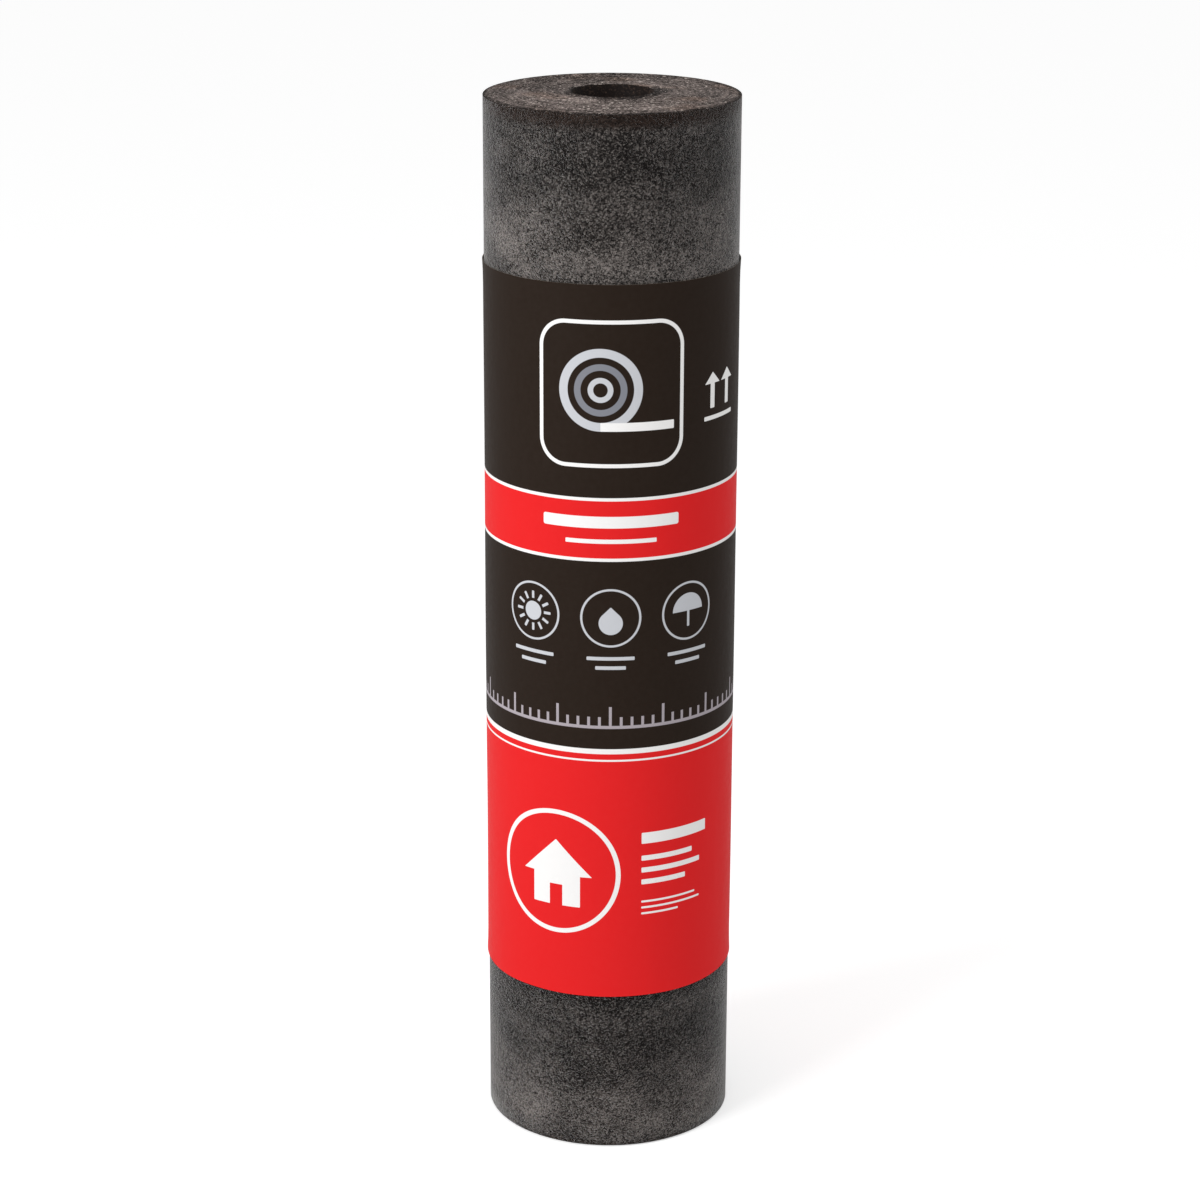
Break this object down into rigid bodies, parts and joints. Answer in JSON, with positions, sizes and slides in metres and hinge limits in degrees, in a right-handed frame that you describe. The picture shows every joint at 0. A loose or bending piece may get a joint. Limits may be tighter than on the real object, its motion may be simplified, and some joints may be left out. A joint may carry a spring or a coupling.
{
  "type": "roll of roofing felt",
  "caption": "Upright roll of bitumen roofing felt with a bore through it, its turns showing on the ends, held by a printed paper sleeve round the middle.",
  "frame": {"origin": "on the roll's axis, in the plane of the end that it stands on", "axes": "+Z along the roll's axis, up from the standing end; -Y is the front of the label"},
  "size_m": [0.2356, 0.2368, 1],
  "materials": {
    "felt": "matt bitumen-coated glass felt, dusted with fine grey mineral",
    "label_paper": "coated paper with a slight sheen, printed near-black and red"
  },
  "bodies": {
    "root": {"felt_roll": "felt", "label_sleeve": "label_paper"}
  },
  "joints": []
}
